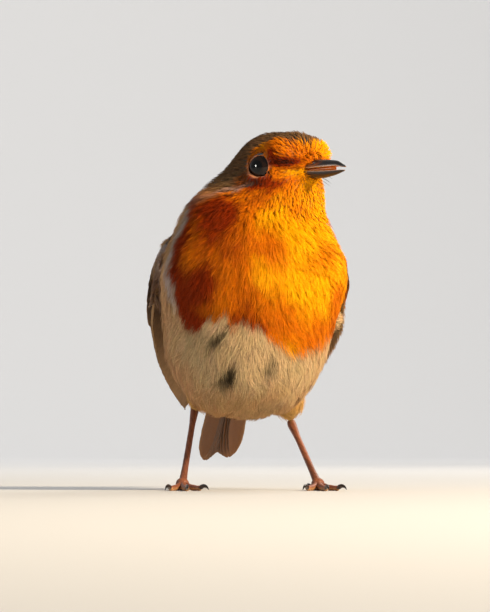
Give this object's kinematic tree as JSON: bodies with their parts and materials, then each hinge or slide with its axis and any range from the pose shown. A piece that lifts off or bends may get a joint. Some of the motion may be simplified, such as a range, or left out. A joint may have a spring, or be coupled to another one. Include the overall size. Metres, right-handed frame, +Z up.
{
  "type": "bird model",
  "caption": "Still, life-size model of a European robin, standing upright on both feet with its head turned and its bill slightly open.",
  "frame": {"origin": "on the floor, under the middle of the bird's box", "axes": "+Z up, -Y the way the body faces, +X the bird's left"},
  "size_m": [0.046, 0.0934, 0.0841],
  "materials": {
    "breast_feathers": "soft orange feathers",
    "belly_feathers": "soft cream and buff feathers",
    "flight_feathers": "olive-brown feather vanes",
    "bill": "smooth dark horn",
    "eye": "wet and glossy",
    "leg_scales": "scaly skin with a slight sheen",
    "claw": "smooth dark horn"
  },
  "bodies": {
    "root": {"trunk": "belly_feathers", "neck": "breast_feathers", "head": "breast_feathers", "bill_upper": "bill", "bill_lower": "bill", "eye_left": "eye", "eye_right": "eye", "wing_left_coverts": "flight_feathers", "wing_left_secondaries": "flight_feathers", "wing_left_primaries": "flight_feathers", "wing_right_coverts": "flight_feathers", "wing_right_secondaries": "flight_feathers", "wing_right_primaries": "flight_feathers", "tail": "flight_feathers", "thigh_left": "belly_feathers", "thigh_right": "belly_feathers", "tarsus_left": "leg_scales", "tarsus_right": "leg_scales", "toe_left_1": "leg_scales", "toe_left_2": "leg_scales", "toe_left_3": "leg_scales", "toe_left_4": "leg_scales", "toe_right_1": "leg_scales", "toe_right_2": "leg_scales", "toe_right_3": "leg_scales", "toe_right_4": "leg_scales", "claw_left_1": "claw", "claw_left_2": "claw", "claw_left_3": "claw", "claw_left_4": "claw", "claw_right_1": "claw", "claw_right_2": "claw", "claw_right_3": "claw", "claw_right_4": "claw"}
  },
  "joints": []
}
